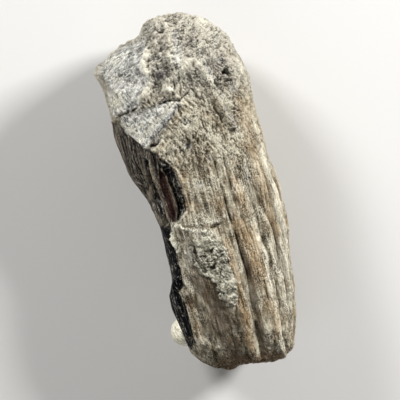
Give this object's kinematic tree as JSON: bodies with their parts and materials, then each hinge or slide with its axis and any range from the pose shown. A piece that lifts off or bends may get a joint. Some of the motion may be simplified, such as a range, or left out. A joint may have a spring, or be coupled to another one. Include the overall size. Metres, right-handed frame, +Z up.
{
  "type": "fossil ichthyosaur tooth",
  "caption": "Stout fluted fossil tooth root lying on its back, broken off below the crown, with a bared dark flank, an open hollow and a crust of rock.",
  "frame": {"origin": "under the middle of the tooth's box, on the surface it lies on", "axes": "+Y along the tooth from its root base to its broken crown end, +X to the right of the face, +Z up out of the face"},
  "size_m": [0.0144, 0.0342, 0.0142],
  "materials": {
    "cementum": "dry, weathered, rough"
  },
  "bodies": {
    "root": {"tooth": "cementum"}
  },
  "joints": []
}
